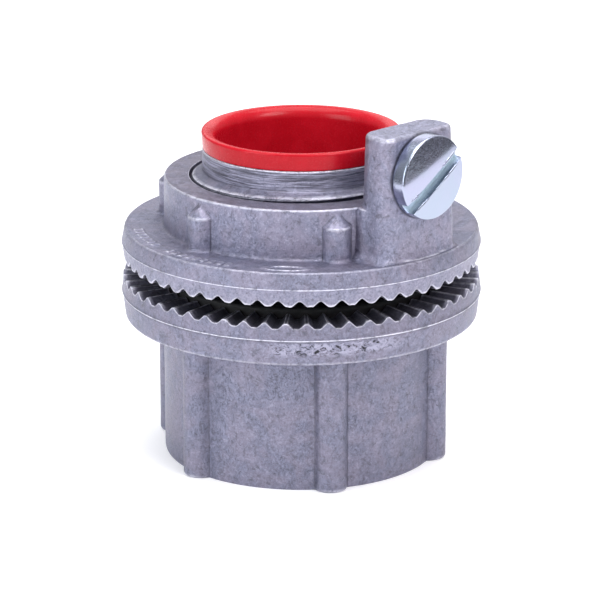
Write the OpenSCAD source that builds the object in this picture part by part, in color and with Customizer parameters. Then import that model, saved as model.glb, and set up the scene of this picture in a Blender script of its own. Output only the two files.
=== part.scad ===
// Watertight conduit hub for a 3/4 inch rigid conduit, with a bonding locknut.
// Origin: centre of the hub's open lower end. +Z runs up the hub's axis, out through the throat.
// All sizes are in millimetres.

/* [Hub body] */
// Radius of the body's outside wall
body_r = 16.8; // [16.2:0.1:17.4]
// Height of the flange's underside above the lower end
flange_z = 17.2; // [17.2:0.1:17.8]
// Largest radius of both flanges, at their parting lines
flange_r = 22; // [21.8:0.1:22.6]
// Height of the hub flange's tooth tips
hub_tip_z = 22.54; // [22.5:0.01:22.6]
// Radius of the conduit socket's wall
socket_r = 13.4; // [13.3:0.1:13.6]
// Depth of the conduit socket, from the lower end to the conduit stop
socket_depth = 16.5; // [15:0.5:16.5]
// Radius of the passage through the conduit stop
stop_r = 10.45; // [10.4:0.05:10.6]
// Number of grip ribs round the body, and round the locknut's collar
rib_count = 6; // [4:1:8]
// Radius at which both sets of ribs end
rib_tip_r = 18.1; // [17.6:0.1:18.4]

/* [Nipple] */
// Outside radius of the nipple's thread
nipple_r = 13.2; // [13.1:0.05:13.25]
// Outside radius of the plain neck above the thread
neck_r = 12; // [11.8:0.1:12.2]
// Height at which the thread ends and the neck begins
thread_top_z = 35.5; // [35:0.1:36]
// Height of the nipple's top face
nipple_top_z = 38.03; // [37.6:0.01:38.4]

/* [Teeth] */
// Number of teeth on each flange
tooth_count = 55; // [40:1:60]
// Depth of the teeth
tooth_depth = 0.75; // [0.5:0.05:0.8]
// Radius at which the teeth end on the inside
tooth_inner_r = 17.7; // [17.5:0.1:18]

/* [Locknut] */
// Distance between the two sets of tooth tips as the locknut sits at rest
tip_gap = 1.8; // [1.8:0.05:3]
// Height of the locknut's top face above its tooth tips
nut_h = 10.29; // [10:0.01:10.5]
// Thickness of the locknut's flange
nut_flange_t = 4.15; // [4:0.05:4.5]
// Outside radius of the collar
collar_r = 16.64; // [16.4:0.02:17]
// Radius of the locknut's bore, over the nipple's thread
nut_bore_r = 13.27; // [13.27:0.01:13.3]

/* [Bonding lug and screw] */
// Direction of the lug round the axis, from -Y towards +X
lug_angle = 44; // [40:1:48]
// Distance of the lug's outside face from the axis
lug_face_r = 20.15; // [20:0.05:20.4]
// Thickness of the lug
lug_t = 4.87; // [4.5:0.01:5]
// Width of the lug
lug_w = 11.6; // [11:0.1:12]
// Height of the lug's top above the locknut's tooth tips
lug_h = 19.16; // [19:0.01:20]
// Height of the screw's axis above the locknut's tooth tips
screw_h = 14.01; // [13.8:0.01:14.2]
// Radius of the screw's head
head_r = 4.9; // [4.8:0.05:5.1]
// Height of the screw's head
head_h = 2.2; // [2:0.1:2.6]
// Radius of the screw's thread, a 10-32 machine screw
screw_r = 2.4; // [2.38:0.01:2.41]
// Length of the screw under its head
screw_len = 6.35; // [6:0.05:6.5]
// Angle of the driver slot from the locknut's plane
slot_tilt = 34; // [0:1:90]

/* [Throat and seal] */
// Radius of the throat's passage
throat_r = 10.35; // [10.3:0.05:10.4]
// Outside radius of the throat's lip
lip_r = 12.1; // [11.9:0.05:12.2]
// Height of the throat's lip
lip_h = 2.15; // [2:0.05:2.3]
// Length of the throat's sleeve inside the nipple
sleeve_len = 10; // [8:0.5:11]
// Inside radius of the sealing ring
seal_inner_r = 14.7; // [14.65:0.05:14.8]
// Outside radius of the sealing ring
seal_outer_r = 17.5; // [17.4:0.05:17.55]
// Height of the sealing ring
seal_h = 2.6; // [2.2:0.1:2.6]

/* [Hidden] */
$fn = 96;

// Flange outline: the parting line is the widest place, and both sides draw in from it
rim_lower_r = flange_r - 0.44;
rim_upper_r = flange_r - 0.24;
parting_z = flange_z + 3.15;
valley_z = hub_tip_z - tooth_depth;

// Ribs are round bars sunk in the wall
rib_bar_r = 1.82;
first_rib_angle = 12.2;
nut_rib_bar_r = 1.73;
first_nut_rib_angle = 14.5;

// Sealing groove in the hub's face
groove_inner_r = 14.5;
groove_floor_z = hub_tip_z - 2.14;

// Locknut heights, from its tooth tips
nut_z = hub_tip_z + tip_gap;
nut_parting_h = 2.17;
nut_recess_h = 0.96;
nut_rib_shoulder_h = nut_h - 2.03;
nut_rib_point_h = 1.4;

// Throat fit in the nipple, and its snap bead
sleeve_r = 11.05;
nipple_bore_r = sleeve_r + 0.05;
sleeve_end_z = nipple_top_z - sleeve_len;
bead_h = 1.2;
bead_out = 0.25;
bead_z = sleeve_end_z + 1;
lip_inner_round = 1.2;
lip_outer_round = 0.55;

// Slot of the bonding screw
slot_w = 1.5;
slot_depth = 1.2;
slot_off_centre = 0.5;
screw_clearance = 0.05;
lug_back_round = 2.28;
lug_front_round = 1.47;

// A quarter circle of points from angle a0 to a1, for turned outlines
function arc(c, r, a0, a1, n = 8) =
    [for (i = [0:n]) c + r * [cos(a0 + (a1 - a0) * i / n), sin(a0 + (a1 - a0) * i / n)]];

// Places children round the axis, count times, with +X turned to the stated direction
module around(count, first) {
    for (i = [0:count - 1])
        rotate([0, 0, first - 90 + i * 360 / count]) children();
}

// The V-shaped grooves between the teeth, opening towards +Z at height 0
module tooth_grooves() {
    over = 0.4;
    mouth_w = 1.95;
    floor_w = 0.65;
    flank = (mouth_w - floor_w) / 2 / tooth_depth;
    around(tooth_count, 90)
        translate([tooth_inner_r - over, 0, 0])
            rotate([90, 0, 90])
                linear_extrude(height = flange_r - tooth_inner_r + 2 * over)
                    polygon([
                        [-floor_w / 2, -tooth_depth],
                        [floor_w / 2, -tooth_depth],
                        [mouth_w / 2 + over * flank, over],
                        [-mouth_w / 2 - over * flank, over]
                    ]);
}

// Body of revolution of the hub, with its socket, conduit stop and nipple
module hub_turned() {
    fillet = 1.5;
    mouth = 0.8;
    foot = 0.5;
    edge = 0.3;
    rotate_extrude()
        polygon(concat(
            [[socket_r + mouth, 0]],
            arc([body_r - foot, foot], foot, -90, 0, 4),
            arc([body_r + fillet, flange_z - fillet], fillet, 180, 90, 6),
            arc([rim_lower_r - edge, flange_z + edge], edge, -90, 0, 4),
            [
                [flange_r, parting_z],
                [rim_upper_r, hub_tip_z],
                [tooth_inner_r, hub_tip_z],
                [tooth_inner_r, groove_floor_z],
                [groove_inner_r, groove_floor_z],
                [groove_inner_r, valley_z],
                [nipple_r, valley_z],
                [nipple_r, thread_top_z],
                [neck_r, thread_top_z],
                [neck_r, nipple_top_z],
                [nipple_bore_r, nipple_top_z],
                [nipple_bore_r, bead_z + bead_h],
                [nipple_bore_r + bead_out, bead_z + bead_h],
                [nipple_bore_r + bead_out, bead_z],
                [nipple_bore_r, bead_z],
                [nipple_bore_r, sleeve_end_z],
                [stop_r, sleeve_end_z],
                [stop_r, socket_depth],
                [socket_r, socket_depth],
                [socket_r, mouth]
            ]
        ));
}

module hub_body() {
    foot_taper = 0.6;
    color([0.62, 0.61, 0.64])
    difference() {
        union() {
            hub_turned();
            difference() {
                around(rib_count, first_rib_angle)
                    translate([rib_tip_r - rib_bar_r, 0, 0]) {
                        cylinder(r1 = rib_bar_r - foot_taper, r2 = rib_bar_r, h = foot_taper);
                        translate([0, 0, foot_taper])
                            cylinder(r = rib_bar_r, h = flange_z - foot_taper + 0.5);
                    }
                translate([0, 0, -1]) cylinder(r = body_r - 0.6, h = flange_z + 3);
            }
        }
        translate([0, 0, hub_tip_z]) tooth_grooves();
    }
}

// Snap-in plastic liner: its rounded lip stands on the nipple and guards the wires
module insulating_throat() {
    lip_z = nipple_top_z;
    top_z = lip_z + lip_h;
    color([0.82, 0.09, 0.13])
    rotate_extrude()
        polygon(concat(
            [
                [throat_r, sleeve_end_z + 0.1],
                [sleeve_r, sleeve_end_z + 0.1],
                [sleeve_r, bead_z + 0.1],
                [sleeve_r + bead_out - 0.05, bead_z + 0.3],
                [sleeve_r + bead_out - 0.05, bead_z + 0.7],
                [sleeve_r, bead_z + bead_h - 0.1],
                [sleeve_r, lip_z],
                [lip_r, lip_z]
            ],
            arc([lip_r - lip_outer_round, top_z - lip_outer_round], lip_outer_round, 0, 90, 6),
            arc([throat_r + lip_inner_round, top_z - lip_inner_round], lip_inner_round, 90, 180, 6)
        ));
}

// Soft ring in the hub's face, pressed against the enclosure wall by the locknut
module sealing_ring() {
    edge = 0.45;
    top_z = groove_floor_z + seal_h;
    color([0.07, 0.07, 0.07])
    rotate_extrude()
        polygon(concat(
            arc([seal_inner_r + edge, groove_floor_z + edge], edge, 180, 270, 4),
            arc([seal_outer_r - edge, groove_floor_z + edge], edge, 270, 360, 4),
            arc([seal_outer_r - edge, top_z - edge], edge, 0, 90, 4),
            arc([seal_inner_r + edge, top_z - edge], edge, 90, 180, 4)
        ));
}

// Body of revolution of the locknut, drawn from its tooth tips up
module nut_turned() {
    fillet = 0.7;
    edge = 0.3;
    chamfer = 0.36;
    rotate_extrude()
        polygon(concat(
            [
                [nut_bore_r + chamfer, nut_recess_h],
                [tooth_inner_r, nut_recess_h],
                [tooth_inner_r, 0],
                [rim_lower_r, 0],
                [flange_r - 0.1, nut_parting_h]
            ],
            arc([rim_lower_r - edge, nut_flange_t - edge], edge, 0, 90, 4),
            arc([collar_r + fillet, nut_flange_t + fillet], fillet, 270, 180, 5),
            arc([collar_r - edge, nut_h - edge], edge, 0, 90, 4),
            [
                [nut_bore_r + chamfer, nut_h],
                [nut_bore_r, nut_h - chamfer],
                [nut_bore_r, nut_recess_h + chamfer]
            ]
        ));
}

// Plan of the lug: +X points away from the axis
module lug_plan() {
    back_x = lug_face_r - lug_t;
    half_w = lug_w / 2;
    union() {
        translate([back_x + lug_back_round, -half_w])
            square([lug_t - lug_back_round - lug_front_round, lug_w]);
        translate([back_x, -half_w + lug_back_round])
            square([lug_back_round, lug_w - 2 * lug_back_round]);
        translate([lug_face_r - lug_front_round, -half_w + lug_front_round])
            square([lug_front_round, lug_w - 2 * lug_front_round]);
        for (side = [-1, 1]) {
            translate([back_x + lug_back_round, side * (half_w - lug_back_round)])
                circle(r = lug_back_round);
            translate([lug_face_r - lug_front_round, side * (half_w - lug_front_round)])
                circle(r = lug_front_round);
        }
    }
}

// The bonding lug stands on the flange and the collar
module lug() {
    root = nut_flange_t - 0.6;
    rotate([0, 0, lug_angle - 90])
        translate([0, 0, root]) linear_extrude(height = lug_h - root) lug_plan();
}

// A cylinder along the bonding screw's axis, between two distances from the hub's axis
module along_screw(r, from, to) {
    rotate([0, 0, lug_angle - 90])
        translate([from, 0, screw_h]) rotate([0, 90, 0]) cylinder(r = r, h = to - from);
}

module locknut() {
    color([0.62, 0.61, 0.64])
    translate([0, 0, nut_z])
    difference() {
        union() {
            nut_turned();
            difference() {
                union() {
                    lug();
                    around(rib_count, first_nut_rib_angle)
                        translate([rib_tip_r - nut_rib_bar_r, 0, nut_flange_t - 0.5]) {
                            cylinder(r = nut_rib_bar_r, h = nut_rib_shoulder_h - nut_flange_t + 0.5);
                            translate([0, 0, nut_rib_shoulder_h - nut_flange_t + 0.5])
                                cylinder(r1 = nut_rib_bar_r, r2 = 0.2, h = nut_rib_point_h);
                        }
                }
                cylinder(r = collar_r - 0.6, h = nut_h - 0.5);
            }
        }
        mirror([0, 0, 1]) tooth_grooves();
        along_screw(screw_r + screw_clearance, lug_face_r - lug_t - 2, lug_face_r + 2);
    }
}

// Slotted screw that clamps the bonding wire against the lug's outside face
module bonding_screw() {
    crown = 0.35;
    crown_r = head_r - 0.6;
    point = 0.5;
    color([0.78, 0.8, 0.86])
    translate([0, 0, nut_z])
    difference() {
        rotate([0, 0, lug_angle - 90])
            translate([lug_face_r, 0, screw_h]) rotate([0, 90, 0])
                rotate_extrude()
                    polygon([
                        [0, -screw_len],
                        [screw_r - point, -screw_len],
                        [screw_r, point - screw_len],
                        [screw_r, 0],
                        [head_r - 0.1, 0],
                        [head_r, 0.25],
                        [head_r, head_h - crown],
                        [crown_r, head_h - 0.1],
                        [head_r / 3, head_h],
                        [0, head_h]
                    ]);
        rotate([0, 0, lug_angle - 90])
            translate([lug_face_r + head_h - slot_depth, 0, screw_h])
                rotate([slot_tilt, 0, 0])
                    translate([0, -head_r - 1, -slot_w / 2 - slot_off_centre])
                        cube([slot_depth + 1, 2 * head_r + 2, slot_w]);
    }
}

hub_body();
insulating_throat();
sealing_ring();
locknut();
bonding_screw();
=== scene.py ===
"""Looks of the watertight conduit hub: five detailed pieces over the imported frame.

Every shape is worked out in millimetres round the hub's axis and scaled to metres when its mesh is made.
Angles round the axis are measured from the front (-Y) towards the right (+X).
"""
import math

import bmesh
import bpy
import numpy as np
from mathutils import Matrix, Vector, noise


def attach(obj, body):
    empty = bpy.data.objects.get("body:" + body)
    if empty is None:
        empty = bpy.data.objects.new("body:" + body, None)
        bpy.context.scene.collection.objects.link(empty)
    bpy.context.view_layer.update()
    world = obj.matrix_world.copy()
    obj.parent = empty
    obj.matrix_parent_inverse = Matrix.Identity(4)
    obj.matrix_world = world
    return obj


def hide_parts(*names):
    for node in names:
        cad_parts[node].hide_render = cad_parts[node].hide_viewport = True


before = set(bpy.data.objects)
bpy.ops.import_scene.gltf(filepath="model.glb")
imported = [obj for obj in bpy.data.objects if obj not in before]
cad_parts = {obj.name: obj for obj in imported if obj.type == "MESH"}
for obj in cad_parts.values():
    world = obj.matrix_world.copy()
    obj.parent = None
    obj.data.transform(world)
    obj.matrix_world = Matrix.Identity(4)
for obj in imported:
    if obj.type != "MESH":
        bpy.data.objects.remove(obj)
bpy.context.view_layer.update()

MM = 0.001
TURN = 2 * math.pi

# ---------------- sizes, in millimetres

BODY_R = 16.8
FOOT_ROUND = 0.3
FLANGE_UNDERSIDE = 17.2
UNDERSIDE_FILLET = 1.5
PARTING_R = 21.97
RIM_STEP = (21.89, 20.52)
HUB_TIP_Z = 22.54
RIM_LOWER_R = 21.56
RIM_UPPER_R = 21.76
TOOTH_INNER_R = 17.7
GROOVE_INNER_R = 14.5
GROOVE_FLOOR_Z = 20.4
FACE_Z = 21.79
TOOTH_DEPTH = 0.75
TOOTH_COUNT = 55
HUB_TIP_ANGLE = 1.7
NUT_TIP_ANGLE = 2.7

PIPE_PITCH = 25.4 / 14
CREST_R = 13.2
ROOT_R = 12.05
THREAD_GAP = 0.09
NECK_R = 12.0
THREAD_FADE = (34.95, 35.85)
THREAD_START = 0.45
NIPPLE_TOP = 38.03
NIPPLE_BORE_R = 11.1
SLEEVE_END = 28.03
STOP_R = 10.45
SOCKET_R = 13.4
SOCKET_DEPTH = 16.5
SOCKET_THREAD = 1.25

NUT_Z = 24.34
NUT_PARTING_Z = 26.51
NUT_FLANGE_TOP = 28.49
NUT_TOP = 34.63
NUT_RECESS_Z = 25.3
COLLAR_R = 16.64
NUT_MOUTH_R = 13.63

# Raised marks: rows of bars (middle in degrees, number of bars) and an oval ring.
MARK_ROWS = ((-38, 9), (-70, 7), (130, 7), (-160, 9))
MARK_R = 20.0
MARK_HEIGHT = 0.13
OVAL_ANGLE = -5
OVAL_R = 19.85
OVAL_SIZE = (2.5, 0.8)

RIB_COUNT = 6
HUB_RIB_ANGLE = 12.2
NUT_RIB_ANGLE = 14.5
HUB_BAR = (16.55, 1.95)
NUT_BAR = (16.37, 1.73)
RIB_FILLET = 0.32
NUT_RIB_TOP = (32.55, 34.15)

# How uneven a cast skin is, and the sizes and frequencies (per mm) of its swells.
CAST_SKIN = 0.028
LUG_SKIN = 0.035
SWELLS = ((1.0, 0.22), (0.5, 0.7), (0.3, 2.1))

LUG_ANGLE = 44.0
LUG_BACK = 15.28
LUG_FACE = 20.15
LUG_HALF_W = 5.7
LUG_TOP = 43.48
LUG_ROUND = 0.55
LUG_DRAFT = 0.45
LUG_FILLET = 1.1
LUG_FOOT_Z = NUT_FLANGE_TOP - 0.03
LUG_REACH = 21.2
SILL_Z = 35.1
SILL_R = 0.5
SCREW_Z = 38.35
HEAD_R = 5.0
HEAD_H = 2.2
SCREW_R = 2.4
SCREW_LEN = 6.35
SCREW_PITCH = 25.4 / 32
SLOT_W = 1.5
SLOT_DEPTH = 1.2
SLOT_TILT = 34.0
SLOT_OFF_CENTRE = 0.5
CROWN_EDGE = (4.74, 1.99)
FACET_LEAN = 23.0
FACET_START = 1.75
FACET_SLOPE = 0.16

THROAT_R = 10.35
SLEEVE_R = 11.05
LIP_R = 12.1
LIP_TOP = 40.18

# Colours of the castings. The collar-top factor darkens the tint, channel by channel, on the collar's
# machined top, as a painted dark reflection.
HUB_TINT = (0.232, 0.231, 0.300)
NUT_TINT = (0.285, 0.283, 0.366)
FACED_DARK_REFLECTION = (0.62, 0.57, 0.57)
# Pale colour laid on proud edges: edge wear, and painted highlights along the edges.
EDGE_WEAR_AND_HIGHLIGHT = (0.80, 0.80, 0.90)


# ---------------- small shape functions


def smooth(value, low, high):
    """0 below low, 1 above high, and a smooth S between them."""
    u = np.clip((np.asarray(value, float) - low) / (high - low), 0, 1)
    return u * u * (3 - 2 * u)


def blend_max(a, b, width):
    """The larger of two values, rounded where they are closer than width."""
    near = np.maximum(width - np.abs(a - b), 0) / width
    return np.maximum(a, b) + near * near * width / 4


def arc(centre_r, centre_z, radius, start, end, steps):
    """Points (r, z) of an arc, with angles in degrees."""
    turns = np.radians(np.linspace(start, end, steps + 1))
    return [(centre_r + radius * math.cos(t), centre_z + radius * math.sin(t)) for t in turns]


def polar(angle, radius, height):
    """Points at these angles (radians), radii and heights."""
    angle, radius, height = np.broadcast_arrays(angle, radius, height)
    return np.stack([radius * np.sin(angle), -radius * np.cos(angle), height], axis=-1)


def off_centre(angles, first, count):
    """Angle, in radians, from the nearest of count even places, the first of them in degrees."""
    period = TURN / count
    return (angles - math.radians(first) + period / 2) % period - period / 2


def repeated(first, count, offsets):
    """Sorted stations round the axis: the offsets (shares of a period) repeated about each place."""
    period = TURN / count
    places = math.radians(first) + period * (np.arange(count)[:, None] + np.asarray(offsets)[None, :])
    return np.sort(places.ravel() % TURN)


# ---------------- building surfaces from rings


def next_angle(angles, i):
    """The angle after the i-th, counted on past a full turn. Infinite after the last step."""
    if i >= len(angles):
        return math.inf
    return angles[(i + 1) % len(angles)] + TURN * ((i + 1) // len(angles))


class Shell:
    """A surface made of rings of points round an axis, in millimetres."""

    def __init__(self):
        self.points = []
        self.faces = []

    def ring(self, angles, radius, height):
        """Adds a ring. Radius and height are numbers, or one value per angle."""
        start = len(self.points)
        self.points.extend(polar(angles, radius, height))
        return start, angles

    def rings(self, angles, outline):
        """Adds a ring for each (radius, height)."""
        return [self.ring(angles, r, z) for r, z in outline]

    def face(self, *corners):
        kept = [c for i, c in enumerate(corners) if c != corners[i - 1]]
        if len(kept) > 2:
            self.faces.append(kept)

    def join(self, one, other):
        """Faces between two rings, which may have different numbers of points."""
        (a, angles_a), (b, angles_b) = one, other
        count_a, count_b = len(angles_a), len(angles_b)
        if count_a == count_b:
            for i in range(count_a):
                j = (i + 1) % count_a
                self.face(a + i, a + j, b + j, b + i)
            return
        i = j = 0
        while i < count_a or j < count_b:
            if next_angle(angles_a, i) <= next_angle(angles_b, j):
                self.face(a + i % count_a, a + (i + 1) % count_a, b + j % count_b)
                i += 1
            else:
                self.face(a + i % count_a, b + (j + 1) % count_b, b + j % count_b)
                j += 1

    def chain(self, *rings):
        for one, other in zip(rings, rings[1:]):
            self.join(one, other)

    def close(self, *rings):
        """Flat faces over whole rings."""
        for start, stations in rings:
            self.face(*range(start, start + len(stations)))

    def thread(self, angles, radius_at, low, high, pitch, shares, start=0.0):
        """Rows along a right-hand thread between two heights. Returns the two end rings."""

        def edge(height):
            share = ((height - start) / pitch - angles / TURN) % 1
            return self.ring(angles, radius_at(share, height), height)

        first, last = edge(low), edge(high)
        rows = []
        turn = math.floor(low / pitch) - 1
        while True:
            for share in shares:
                heights = start + pitch * (turn + share + angles / TURN)
                row = []
                for j, (angle, height) in enumerate(zip(angles, heights)):
                    if height <= low:
                        row.append(first[0] + j)
                    elif height >= high:
                        row.append(last[0] + j)
                    else:
                        row.append(len(self.points))
                        self.points.append(polar(angle, radius_at(share, height), height))
                rows.append(row)
            turn += 1
            if pitch * (turn - 1) > high:
                break
        steps = len(shares)
        for k in range(len(rows) - 1):
            for j in range(len(angles) - 1):
                self.face(rows[k][j], rows[k][j + 1], rows[k + 1][j + 1], rows[k + 1][j])
            if k + 1 + steps < len(rows):
                self.face(rows[k][-1], rows[k + steps][0], rows[k + 1 + steps][0], rows[k + 1][-1])
        return first, last

    def mesh(self, name):
        data = bpy.data.meshes.new(name)
        points = np.array([np.asarray(p, float) for p in self.points]) * MM
        data.from_pydata([tuple(p) for p in points], [], self.faces)
        tidy_mesh(data)
        return data

    def piece(self, name):
        return new_object(name, self.mesh(name))


def tidy_mesh(data):
    """Points every face outwards and drops faces of no area."""
    work = bmesh.new()
    work.from_mesh(data)
    bmesh.ops.remove_doubles(work, verts=work.verts, dist=0.0004 * MM)
    bmesh.ops.recalc_face_normals(work, faces=work.faces)
    work.to_mesh(data)
    work.free()


def new_object(name, data):
    made = bpy.data.objects.new(name, data)
    bpy.context.scene.collection.objects.link(made)
    return made


def combine(target, tool, operation):
    """Adds or cuts a closed tool shape, and removes the tool."""
    step = target.modifiers.new("combine", "BOOLEAN")
    step.operation = operation
    step.solver = "MANIFOLD"
    step.object = tool
    graph = bpy.context.evaluated_depsgraph_get()
    made = bpy.data.meshes.new_from_object(target.evaluated_get(graph))
    target.modifiers.clear()
    target.data = made
    bpy.data.objects.remove(tool)


def coordinates(data, what):
    """The points' positions ("co") or directions ("normal") as rows of three numbers."""
    values = np.empty(len(data.vertices) * 3)
    data.vertices.foreach_get(what, values)
    return values.reshape(-1, 3)


def roughen(data, amount_at):
    """Moves points along their normals by soft noise, by as many mm as amount_at gives."""
    places = coordinates(data, "co")
    normals = coordinates(data, "normal")
    swells = np.zeros(len(places))
    for i, row in enumerate(places / MM):
        place = Vector(row)
        amount = amount_at(place)
        if amount:
            swells[i] = amount * sum(size * noise.noise(place * often) for size, often in SWELLS)
    data.vertices.foreach_set("co", (places + normals * swells[:, None] * MM).ravel())
    data.update()


def mark_edges(data):
    """Stores how far each point stands proud (edge) or lies in a hollow, for edge wear with painted
    highlights and for painted shade in hollows.
    """
    count = len(data.vertices)
    co = coordinates(data, "co")
    normals = coordinates(data, "normal")
    pairs = np.empty(len(data.edges) * 2, int)
    data.edges.foreach_get("vertices", pairs)
    pairs = pairs.reshape(-1, 2)
    length = np.maximum(np.linalg.norm(co[pairs[:, 0]] - co[pairs[:, 1]], axis=1), 0.02 * MM)
    bend = np.zeros(count)
    ties = np.zeros(count)
    for one, other in ((0, 1), (1, 0)):
        away = ((co[pairs[:, one]] - co[pairs[:, other]]) * normals[pairs[:, one]]).sum(1) / length
        away *= MM / np.maximum(length, 0.16 * MM)
        np.add.at(bend, pairs[:, one], away)
        np.add.at(ties, pairs[:, one], 1)
    bend /= np.maximum(ties, 1)
    spread = np.zeros(count)
    for one, other in ((0, 1), (1, 0)):
        np.add.at(spread, pairs[:, one], bend[pairs[:, other]])
    bend = 0.6 * bend + 0.4 * spread / np.maximum(ties, 1)
    store(data, "edge", smooth(bend, 0.22, 0.95))
    store(data, "hollow", smooth(-bend, 0.25, 1.1))


def store(data, name, values):
    """Keeps one number per point on the mesh, for its material to read."""
    layer = data.attributes.new(name, "FLOAT", "POINT")
    layer.data.foreach_set("value", np.asarray(values, np.float32))


def mark_areas(data):
    """Marks machined faces (the collar's top gets a painted dark reflection), the lug's top (scuffs and
    painted top light), the gap between the flanges (painted shade), grit, and the flaked patch.
    """
    co = coordinates(data, "co") / MM
    up = coordinates(data, "normal")[:, 2]
    radius = np.hypot(co[:, 0], co[:, 1])
    store(data, "turned", smooth(co[:, 2], 35.3, 35.7) * smooth(-radius, -13.0, -12.6))
    store(data, "faced_dark_reflection", smooth(up, 0.85, 0.97) * smooth(-np.abs(co[:, 2] - NUT_TOP), -0.12, -0.06))
    store(data, "scuffed_lit_top", smooth(up, 0.8, 0.95) * smooth(co[:, 2], LUG_TOP - 0.2, LUG_TOP - 0.1))
    # Painted shade in the gap between the flanges, and a little of it over the whole of the locknut's
    # flange.
    between = smooth(co[:, 2], 20.45, 20.65) * (1 - smooth(co[:, 2], NUT_RECESS_Z, NUT_RECESS_Z + 0.1))
    gap = between * smooth(-radius, -21.5, -21.2)
    nut_flange = smooth(radius, 15.0, 15.5) * smooth(co[:, 2], NUT_Z - 0.2, NUT_Z)
    nut_flange *= co[:, 2] < NUT_FLANGE_TOP + 0.3
    store(data, "gap", np.maximum(gap, 0.18 * nut_flange))
    angle = np.degrees(np.arctan2(co[:, 0], -co[:, 1]))
    wide = smooth(angle, -13, -6) * (1 - smooth(angle, 22, 42))
    tall = smooth(co[:, 2], 18.3, 18.7) * (1 - smooth(co[:, 2], 19.9, 20.3))
    grit = smooth(radius, 21.3, 21.45) * smooth(-co[:, 2], -NUT_PARTING_Z, 0.2 - NUT_PARTING_Z)
    store(data, "grit", grit * smooth(co[:, 2], NUT_Z - 0.2, NUT_Z - 0.1))
    store(data, "flake", wide * tall * smooth(radius, 21.2, 21.5))


def finish_piece(piece, material, body, node, sharp=38):
    """Shades a piece, gives it its material, and ties it to the frame."""
    piece.data.shade_smooth()
    piece.data.set_sharp_from_angle(angle=math.radians(sharp))
    piece.data.materials.clear()
    piece.data.materials.append(material)
    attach(piece, body)
    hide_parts(node)


# ---------------- stations round the axis

HALF_TOOTH = [0.03, 0.07, 0.14, 0.22, 0.30, 0.36, 0.41]
TOOTH_SHARES = [0, *HALF_TOOTH, 0.5, *[1 - share for share in reversed(HALF_TOOTH)]]
RIB_SPANS = ((-0.5, -0.14, 20), (-0.14, -0.05, 18), (-0.05, 0.05, 12), (0.05, 0.14, 18), (0.14, 0.5, 20))
RIB_EDGES = np.concatenate([np.linspace(*span, endpoint=False) for span in RIB_SPANS])
HUB_TEETH = repeated(HUB_TIP_ANGLE, TOOTH_COUNT, TOOTH_SHARES)
NUT_TEETH = repeated(NUT_TIP_ANGLE, TOOTH_COUNT, TOOTH_SHARES)
HUB_RIBS = repeated(HUB_RIB_ANGLE, RIB_COUNT, RIB_EDGES)
NUT_RIBS = repeated(NUT_RIB_ANGLE, RIB_COUNT, RIB_EDGES)
PLAIN = np.linspace(0, TURN, 144, endpoint=False)


def tooth_depth(angles, first, tip_flat, valley_flat):
    """Depth below the tips, from 0 to 1, for teeth whose flats are shares of a tooth."""
    share = np.abs(off_centre(angles, first, TOOTH_COUNT)) / (TURN / TOOTH_COUNT)
    slope = np.clip((share - tip_flat / 2) / (0.5 - tip_flat / 2 - valley_flat / 2), 0, 1)
    depth = 0.75 * slope + 0.25 * smooth(slope, 0, 1)
    blunt = 0.06 + 0.06 * np.sin(angles * 17.3 + first) + 0.05 * np.sin(angles * 41.0)
    blunt += 0.03 * np.sin(angles * 143.0)
    return np.maximum(depth * (0.97 + 0.03 * np.sin(angles * 29.0)), np.maximum(blunt, 0))


def with_ribs(angles, first, wall, centre_r, bar_r):
    """Radius of a round wall with round bars sunk in it, and a small fillet where they meet."""
    if bar_r <= 0:
        return wall + 0 * angles
    off = off_centre(angles, first, RIB_COUNT)
    across = np.clip(centre_r * np.sin(off), -bar_r, bar_r)
    bar = centre_r * np.cos(off) + np.sqrt(bar_r**2 - across**2)
    inside = np.abs(off) < math.asin(min(bar_r / centre_r, 1))
    return blend_max(wall + 0 * angles, np.where(inside, bar, 0), RIB_FILLET)


def thread_share(share, crest_flat=0.14, root_flat=0.14):
    """1 on a thread's crest and 0 at its root, with straight flanks."""
    off = np.abs((np.asarray(share) + 0.5) % 1 - 0.5)
    return 1 - np.clip((off - crest_flat / 2) / (0.5 - crest_flat / 2 - root_flat / 2), 0, 1)


THREAD_SHARES = [0, 0.07, 0.19, 0.31, 0.43, 0.57, 0.69, 0.81, 0.93]


# ---------------- hub body


def nipple_radius(share, height):
    """Outside of the nipple: thread, fading into the plain neck."""
    keep = 1 - smooth(height, *THREAD_FADE)
    return NECK_R + (ROOT_R - NECK_R) * keep + (CREST_R - ROOT_R) * thread_share(share) * keep


def socket_radius(share, height):
    """Inside of the conduit socket: a tapered pipe thread."""
    root = SOCKET_R - height / 32
    fade = 1 - smooth(height, 13.2, 15.4)
    inward = SOCKET_THREAD * thread_share(share) * fade
    mouth = SOCKET_R + 0.85 - height
    return np.maximum(root - inward, mouth)


def hub_wall(angles, z):
    """Outside radius of the ribbed body at a height."""
    wall = with_ribs(angles, HUB_RIB_ANGLE, BODY_R, *HUB_BAR)
    foot = FOOT_ROUND + 0.1 * smooth(wall, BODY_R + 0.3, BODY_R + 1.1)
    inset = foot - np.sqrt(np.maximum(foot**2 - np.clip(foot - z, 0, foot) ** 2, 0))
    rise = np.clip(z - (FLANGE_UNDERSIDE - UNDERSIDE_FILLET), 0, UNDERSIDE_FILLET)
    flare = BODY_R + UNDERSIDE_FILLET - math.sqrt(max(UNDERSIDE_FILLET**2 - rise**2, 0))
    return blend_max(wall - inset, flare, 0.3)


def hub_rim():
    """(r, z) points of the flange's underside and rim, up to just over its parting line."""
    rim = [(19.2, FLANGE_UNDERSIDE), (19.9, FLANGE_UNDERSIDE), (20.6, FLANGE_UNDERSIDE)]
    rim += arc(RIM_LOWER_R - 0.4, FLANGE_UNDERSIDE + 0.4, 0.4, -90, 0, 5)
    rim += zip(np.linspace(21.6, 21.86, 9), np.linspace(17.9, 20.22, 9))
    return [*rim, (21.93, 20.28), (PARTING_R, 20.33), (PARTING_R, 20.39), (21.93, 20.44), RIM_STEP]


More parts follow.
